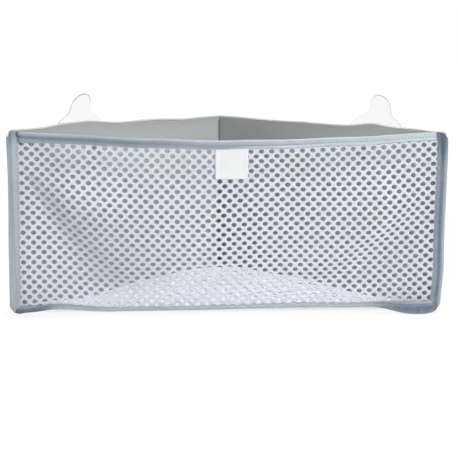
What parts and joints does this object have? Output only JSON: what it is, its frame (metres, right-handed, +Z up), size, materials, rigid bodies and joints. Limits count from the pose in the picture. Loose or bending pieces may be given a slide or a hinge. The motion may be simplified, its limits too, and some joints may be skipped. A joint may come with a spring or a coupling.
{
  "type": "bath toy organizer",
  "caption": "Triangular corner pocket with a soft net front and base on stiffened back panels that fold at the corner, bound edges, and clear suction cups with pull tabs.",
  "frame": {"origin": "under the middle of the bounding box, on the ground the base tapes rest on", "axes": "+Z up, +X to the right seen from the front, the net front faces -Y and the corner seam is at +Y"},
  "size_m": [0.3774, 0.2036, 0.1826],
  "materials": {
    "lining": "matt grey woven polyester, bag side",
    "cover": "matt grey woven polyester, wall side and turned edges",
    "board": "plain stiffening board, hidden",
    "tape": "blue-grey woven binding tape",
    "net": "white knitted polyester net",
    "label": "white soft patch, bare",
    "metal": "plated",
    "clear": "clear soft vinyl"
  },
  "bodies": {
    "left_side": {"left_lining": "lining", "left_stiffener": "board", "left_wall_cover": "cover", "left_top_hem": "cover", "left_base_binding": "tape", "left_side_binding": "tape", "left_eyelet": "metal", "left_eyelet_washer": "metal", "front_mesh": "net", "base_mesh": "net", "front_rim_binding": "tape", "front_base_binding": "tape", "label_patch": "label", "corner_binding": "tape"},
    "right_side": {"right_lining": "lining", "right_stiffener": "board", "right_wall_cover": "cover", "right_top_hem": "cover", "right_base_binding": "tape", "right_side_binding": "tape", "right_eyelet": "metal", "right_eyelet_washer": "metal"},
    "left_cup": {"left_suction_cup": "clear"},
    "right_cup": {"right_suction_cup": "clear"}
  },
  "joints": [
    {"name": "corner_fold", "type": "hinge", "parent": "left_side", "child": "right_side", "pos_m": [0, 0.0904, 0.0775], "axis": [0, 0, -1], "range_deg": [0, 80], "deforming": ["front_mesh", "base_mesh", "front_rim_binding", "front_base_binding", "label_patch", "corner_binding"]},
    {"name": "left_cup_swivel", "type": "hinge", "parent": "left_side", "child": "left_cup", "pos_m": [-0.11879, -0.02642, 0.132], "axis": [-0.7071, 0.7071, 0], "continuous": true},
    {"name": "right_cup_swivel", "type": "hinge", "parent": "right_side", "child": "right_cup", "pos_m": [0.12516, -0.03278, 0.132], "axis": [0.7071, 0.7071, 0], "continuous": true}
  ]
}
